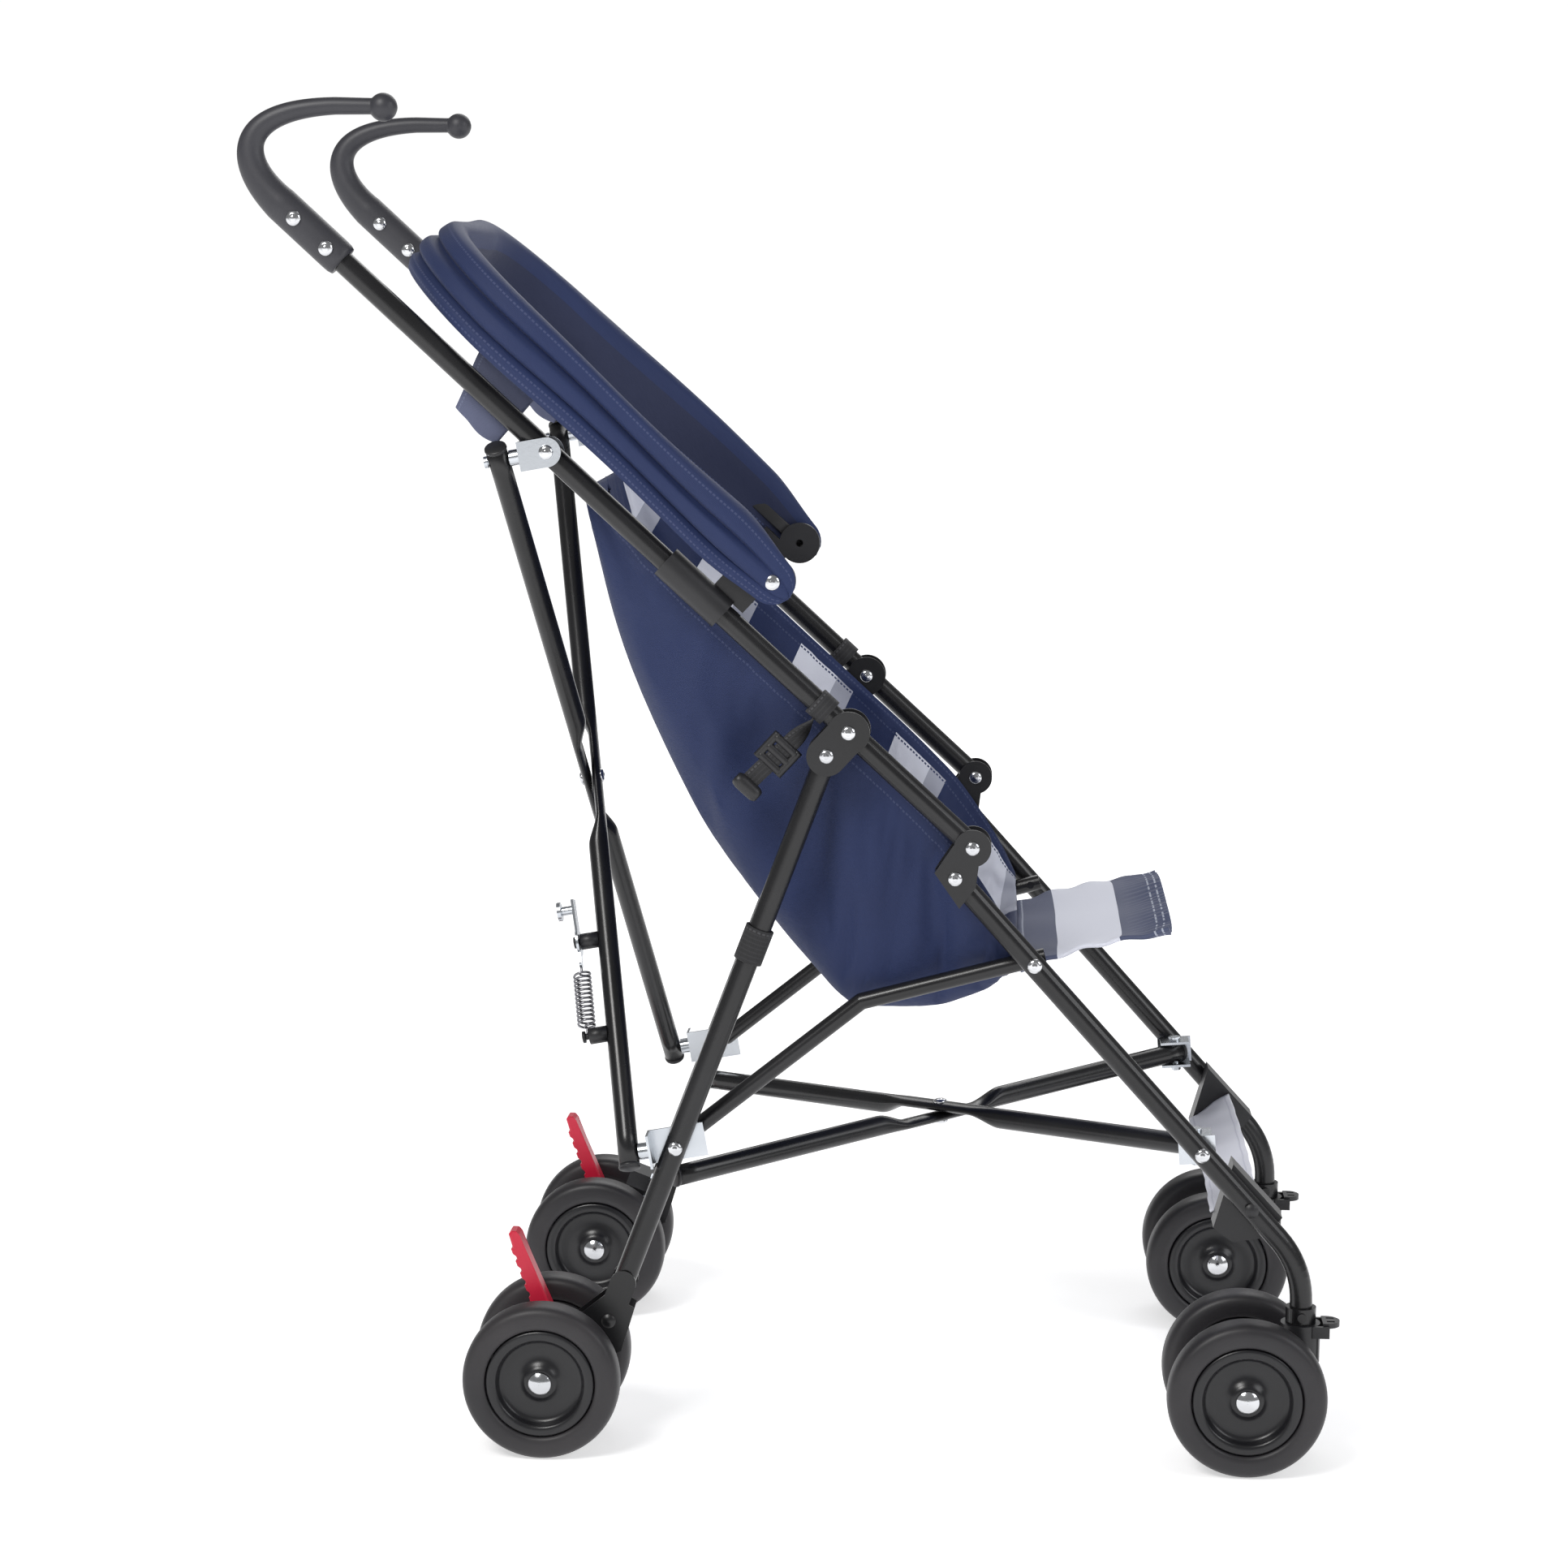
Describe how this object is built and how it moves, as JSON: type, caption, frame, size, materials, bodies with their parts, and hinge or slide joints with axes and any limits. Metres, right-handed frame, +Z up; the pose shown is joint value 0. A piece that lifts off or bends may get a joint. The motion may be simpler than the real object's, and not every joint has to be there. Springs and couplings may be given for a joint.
{
  "type": "baby stroller",
  "caption": "Folding umbrella stroller with tube side frames, X braces, fabric seat sling, folded-back canopy and twin-wheel casters.",
  "frame": {"origin": "on the floor under the middle of the stroller's length and width", "axes": "+X forward, +Y to the rider's left, +Z up"},
  "size_m": [0.8317, 0.4636, 1.0215],
  "materials": {
    "frame_black": "black powder-coated steel tube",
    "black_steel": "black painted pressed steel",
    "zinc_steel": "bright zinc-plated steel",
    "axle_steel": "polished axle and domed cap",
    "grip_plastic": "dark grey soft plastic",
    "black_plastic": "moulded black nylon",
    "tyre_foam": "black foam tyre",
    "wheel_plastic": "black wheel disc",
    "red_plastic": "red moulded plastic",
    "navy_fabric": "woven navy polyester",
    "striped_fabric": "woven polyester with a pale stripe",
    "white_fabric": "white woven polyester",
    "webbing": "black polypropylene webbing"
  },
  "bodies": {
    "root": {"push_tube_r": "frame_black", "handle_grip_r": "grip_plastic", "shoulder_bracket_r": "black_steel", "canopy_clamp_r": "black_plastic", "seat_sling": "navy_fabric", "calf_flap": "striped_fabric", "harness": "webbing"},
    "left_side": {"push_tube_l": "frame_black", "handle_grip_l": "grip_plastic", "shoulder_bracket_l": "black_steel", "canopy_clamp_l": "black_plastic", "waist_loop": "webbing"},
    "canopy": {"canopy_bows": "black_plastic", "canopy_fabric": "navy_fabric"},
    "latch": {"latch_hook": "zinc_steel"},
    "lock_pedal": {"lock_pedal": "black_plastic"},
    "rear_leg_r": {"rear_leg_r": "frame_black", "rear_wheel_bracket_r": "black_steel", "rear_axle_r": "axle_steel"},
    "front_leg_r": {"front_leg_r": "frame_black", "knee_bracket_r": "black_steel", "footrest_cap_r": "black_plastic", "footrest_strap": "white_fabric"},
    "seat_bar_r": {"seat_bar_r": "frame_black"},
    "back_bracket_r": {"back_bracket_r": "zinc_steel"},
    "leg_bracket_r": {"leg_bracket_r": "zinc_steel"},
    "floor_bracket_r": {"floor_bracket_r": "zinc_steel"},
    "lock_bar_r": {"lock_bar_r": "zinc_steel"},
    "caster_r": {"caster_fork_r": "black_plastic", "front_axle_r": "axle_steel"},
    "front_wheels_r": {"front_tyres_r": "tyre_foam", "front_rims_r": "wheel_plastic"},
    "rear_wheels_r": {"rear_tyres_r": "tyre_foam", "rear_rims_r": "wheel_plastic"},
    "swivel_lock_r": {"swivel_lock_r": "black_plastic"},
    "brake_pedal_r": {"brake_pedal_r": "red_plastic"},
    "rear_leg_l": {"rear_leg_l": "frame_black", "rear_wheel_bracket_l": "black_steel", "rear_axle_l": "axle_steel"},
    "front_leg_l": {"front_leg_l": "frame_black", "knee_bracket_l": "black_steel", "footrest_cap_l": "black_plastic"},
    "seat_bar_l": {"seat_bar_l": "frame_black"},
    "back_bracket_l": {"back_bracket_l": "zinc_steel"},
    "leg_bracket_l": {"leg_bracket_l": "zinc_steel"},
    "floor_bracket_l": {"floor_bracket_l": "zinc_steel"},
    "lock_bar_l": {"lock_bar_l": "zinc_steel"},
    "caster_l": {"caster_fork_l": "black_plastic", "front_axle_l": "axle_steel"},
    "front_wheels_l": {"front_tyres_l": "tyre_foam", "front_rims_l": "wheel_plastic"},
    "rear_wheels_l": {"rear_tyres_l": "tyre_foam", "rear_rims_l": "wheel_plastic"},
    "swivel_lock_l": {"swivel_lock_l": "black_plastic"},
    "brake_pedal_l": {"brake_pedal_l": "red_plastic"},
    "back_brace_a": {"back_brace_a": "frame_black"},
    "floor_brace_a": {"floor_brace_a": "frame_black"},
    "back_brace_b": {"back_brace_b": "frame_black", "latch_spring": "zinc_steel"},
    "floor_brace_b": {"floor_brace_b": "frame_black"}
  },
  "joints": [
    {"name": "side_fold", "type": "slide", "parent": "root", "child": "left_side", "axis": [0, -1, 0], "range_m": [0, 0.21218], "deforming": ["canopy_fabric", "canopy_bows", "seat_sling", "calf_flap", "footrest_strap", "harness"]},
    {"name": "rear_leg_fold_r", "type": "hinge", "parent": "root", "child": "rear_leg_r", "pos_m": [0.02268, -0.178, 0.53758], "axis": [0, -1, 0], "range_deg": [-0.5, 53.24]},
    {"name": "front_leg_fold_r", "type": "hinge", "parent": "root", "child": "front_leg_r", "pos_m": [0.13235, -0.178, 0.46993], "axis": [0, -1, 0], "range_deg": [-0.5, 140.5]},
    {"name": "seat_bar_turn_r", "type": "hinge", "parent": "front_leg_r", "child": "seat_bar_r", "pos_m": [0.18013, -0.178, 0.38107], "axis": [0, -1, 0], "range_deg": [-70.97, 0.5]},
    {"name": "back_bracket_turn_r", "type": "hinge", "parent": "root", "child": "back_bracket_r", "pos_m": [-0.18637, -0.178, 0.76096], "axis": [0, -1, 0], "range_deg": [-0.5, 27.71]},
    {"name": "leg_bracket_turn_r", "type": "hinge", "parent": "rear_leg_r", "child": "leg_bracket_r", "pos_m": [-0.08992, -0.178, 0.23441], "axis": [0, -1, 0], "range_deg": [-26.04, 0.5]},
    {"name": "floor_bracket_turn_r", "type": "hinge", "parent": "front_leg_r", "child": "floor_bracket_r", "pos_m": [0.30865, -0.178, 0.23806], "axis": [0, -1, 0], "range_deg": [-47.23, 0.5]},
    {"name": "rear_leg_fold_l", "type": "hinge", "parent": "left_side", "child": "rear_leg_l", "pos_m": [0.02268, 0.178, 0.53758], "axis": [0, -1, 0], "range_deg": [-0.5, 53.24]},
    {"name": "front_leg_fold_l", "type": "hinge", "parent": "left_side", "child": "front_leg_l", "pos_m": [0.13235, 0.178, 0.46993], "axis": [0, -1, 0], "range_deg": [-0.5, 140.5]},
    {"name": "seat_bar_turn_l", "type": "hinge", "parent": "front_leg_l", "child": "seat_bar_l", "pos_m": [0.18013, 0.178, 0.38107], "axis": [0, -1, 0], "range_deg": [-70.97, 0.5]},
    {"name": "back_bracket_turn_l", "type": "hinge", "parent": "left_side", "child": "back_bracket_l", "pos_m": [-0.18637, 0.178, 0.76096], "axis": [0, -1, 0], "range_deg": [-0.5, 27.71]},
    {"name": "leg_bracket_turn_l", "type": "hinge", "parent": "rear_leg_l", "child": "leg_bracket_l", "pos_m": [-0.08992, 0.178, 0.23441], "axis": [0, -1, 0], "range_deg": [-26.04, 0.5]},
    {"name": "floor_bracket_turn_l", "type": "hinge", "parent": "front_leg_l", "child": "floor_bracket_l", "pos_m": [0.30865, 0.178, 0.23806], "axis": [0, -1, 0], "range_deg": [-47.23, 0.5]},
    {"name": "back_brace_turn_a", "type": "hinge", "parent": "back_bracket_r", "child": "back_brace_a", "pos_m": [-0.22276, -0.178, 0.7543], "axis": [-0.9836, 0, -0.1802], "range_deg": [-0.5, 21.2]},
    {"name": "floor_brace_turn_a", "type": "hinge", "parent": "floor_bracket_r", "child": "floor_brace_a", "pos_m": [0.30565, -0.1552, 0.23806], "axis": [-0.0816, 0, 0.9967], "range_deg": [-0.5, 27.89]},
    {"name": "back_brace_turn_b", "type": "hinge", "parent": "back_bracket_l", "child": "back_brace_b", "pos_m": [-0.22276, 0.178, 0.7543], "axis": [-0.9836, 0, -0.1802], "range_deg": [-21.2, 0.5]},
    {"name": "floor_brace_turn_b", "type": "hinge", "parent": "floor_bracket_l", "child": "floor_brace_b", "pos_m": [0.30565, 0.1552, 0.23806], "axis": [-0.0816, 0, 0.9967], "range_deg": [-27.89, 0.5]},
    {"name": "lock_bar_fold_r", "type": "hinge", "parent": "rear_leg_r", "child": "lock_bar_r", "pos_m": [-0.12947, -0.1579, 0.12792], "axis": [-0.9374, 0, 0.3482], "range_deg": [-58.37, 0.5]},
    {"name": "lock_bar_fold_l", "type": "hinge", "parent": "rear_leg_l", "child": "lock_bar_l", "pos_m": [-0.12947, 0.1579, 0.12792], "axis": [-0.9374, 0, 0.3482], "range_deg": [-0.5, 58.37]},
    {"name": "caster_swivel_r", "type": "hinge", "parent": "front_leg_r", "child": "caster_r", "pos_m": [0.38636, -0.178, 0.1245], "axis": [0, 0, 1], "continuous": true},
    {"name": "front_wheel_spin_r", "type": "hinge", "parent": "caster_r", "child": "front_wheels_r", "pos_m": [0.34446, -0.178, 0.06], "axis": [0, 1, 0], "continuous": true},
    {"name": "rear_wheel_spin_r", "type": "hinge", "parent": "rear_leg_r", "child": "rear_wheels_r", "pos_m": [-0.18854, -0.178, 0.06], "axis": [0, 1, 0], "continuous": true},
    {"name": "swivel_lock_lift_r", "type": "hinge", "parent": "caster_r", "child": "swivel_lock_r", "pos_m": [0.40436, -0.178, 0.1032], "axis": [0, -1, 0], "range_deg": [0, 11]},
    {"name": "brake_press_r", "type": "hinge", "parent": "rear_leg_r", "child": "brake_pedal_r", "pos_m": [-0.18254, -0.178, 0.086], "axis": [0, -1, 0], "range_deg": [0, 22]},
    {"name": "caster_swivel_l", "type": "hinge", "parent": "front_leg_l", "child": "caster_l", "pos_m": [0.38636, 0.178, 0.1245], "axis": [0, 0, 1], "continuous": true},
    {"name": "front_wheel_spin_l", "type": "hinge", "parent": "caster_l", "child": "front_wheels_l", "pos_m": [0.34446, 0.178, 0.06], "axis": [0, 1, 0], "continuous": true},
    {"name": "rear_wheel_spin_l", "type": "hinge", "parent": "rear_leg_l", "child": "rear_wheels_l", "pos_m": [-0.18854, 0.178, 0.06], "axis": [0, 1, 0], "continuous": true},
    {"name": "swivel_lock_lift_l", "type": "hinge", "parent": "caster_l", "child": "swivel_lock_l", "pos_m": [0.40436, 0.178, 0.1032], "axis": [0, -1, 0], "range_deg": [0, 11]},
    {"name": "brake_press_l", "type": "hinge", "parent": "rear_leg_l", "child": "brake_pedal_l", "pos_m": [-0.18254, 0.178, 0.086], "axis": [0, -1, 0], "range_deg": [0, 22]},
    {"name": "canopy_swing", "type": "hinge", "parent": "root", "child": "canopy", "pos_m": [-0.01872, 0, 0.66679], "axis": [0, 1, 0], "range_deg": [0, 55]},
    {"name": "latch_turn", "type": "hinge", "parent": "back_brace_b", "child": "latch", "pos_m": [-0.17496, -0.07832, 0.37122], "axis": [-0.9836, 0, -0.1802], "range_deg": [0, 15], "stiffness_Nm_per_rad": 0.5, "springref_deg": -11.46},
    {"name": "lock_pedal_press", "type": "hinge", "parent": "lock_bar_r", "child": "lock_pedal", "pos_m": [-0.12426, -0.02528, 0.16003], "axis": [0.3385, -0.234, 0.9114], "range_deg": [0, 12]}
  ],
  "couplings": [
    {"joint": "rear_leg_fold_r", "follows": "side_fold", "rad_per_m": 4.3385},
    {"joint": "front_leg_fold_r", "follows": "side_fold", "rad_per_m": 11.516},
    {"joint": "seat_bar_turn_r", "follows": "side_fold", "rad_per_m": -5.7969},
    {"joint": "back_bracket_turn_r", "follows": "side_fold", "rad_per_m": 2.2378},
    {"joint": "leg_bracket_turn_r", "follows": "side_fold", "rad_per_m": -2.1007},
    {"joint": "floor_bracket_turn_r", "follows": "side_fold", "rad_per_m": -3.8438},
    {"joint": "rear_leg_fold_l", "follows": "side_fold", "rad_per_m": 4.3385},
    {"joint": "front_leg_fold_l", "follows": "side_fold", "rad_per_m": 11.516},
    {"joint": "seat_bar_turn_l", "follows": "side_fold", "rad_per_m": -5.7969},
    {"joint": "back_bracket_turn_l", "follows": "side_fold", "rad_per_m": 2.2378},
    {"joint": "leg_bracket_turn_l", "follows": "side_fold", "rad_per_m": -2.1007},
    {"joint": "floor_bracket_turn_l", "follows": "side_fold", "rad_per_m": -3.8438},
    {"joint": "back_brace_turn_a", "follows": "side_fold", "rad_per_m": 1.7026},
    {"joint": "floor_brace_turn_a", "follows": "side_fold", "rad_per_m": 2.2527},
    {"joint": "back_brace_turn_b", "follows": "side_fold", "rad_per_m": -1.7026},
    {"joint": "floor_brace_turn_b", "follows": "side_fold", "rad_per_m": -2.2527},
    {"joint": "lock_bar_fold_r", "follows": "side_fold", "rad_per_m": -4.7598},
    {"joint": "lock_bar_fold_l", "follows": "side_fold", "rad_per_m": 4.7598}
  ]
}
